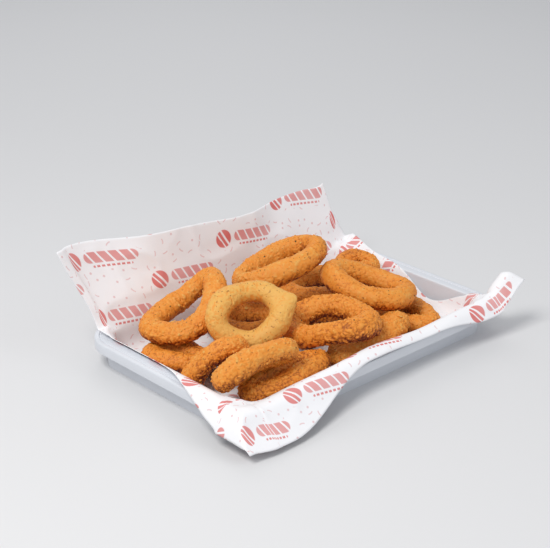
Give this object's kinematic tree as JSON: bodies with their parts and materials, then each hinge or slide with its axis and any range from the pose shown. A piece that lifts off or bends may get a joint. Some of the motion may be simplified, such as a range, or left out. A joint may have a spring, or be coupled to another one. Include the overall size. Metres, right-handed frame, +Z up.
{
  "type": "onion rings side",
  "caption": "Heap of crumbed, fried onion rings on a printed greaseproof liner that stands up behind them, in a shallow white rectangular tray with rounded corners.",
  "frame": {"origin": "centre of the tray's flat foot, on the surface it stands on", "axes": "+X along the tray's long side, +Y towards the side where the liner stands highest, +Z up"},
  "size_m": [0.2626, 0.1948, 0.0811],
  "materials": {
    "tray_white": "smooth white melamine with a soft sheen",
    "greaseproof_paper": null,
    "golden_crumb": "rough golden-brown fried crumb coating"
  },
  "bodies": {
    "root": {"tray": "tray_white", "paper_liner": "greaseproof_paper", "ring_01": "golden_crumb", "ring_02": "golden_crumb", "ring_03": "golden_crumb", "ring_04": "golden_crumb", "ring_05": "golden_crumb", "ring_06": "golden_crumb", "ring_07": "golden_crumb", "ring_08": "golden_crumb", "ring_09": "golden_crumb", "ring_10": "golden_crumb", "ring_11": "golden_crumb", "ring_12": "golden_crumb", "ring_13": "golden_crumb", "ring_14": "golden_crumb", "ring_15": "golden_crumb", "ring_16": "golden_crumb"}
  },
  "joints": []
}
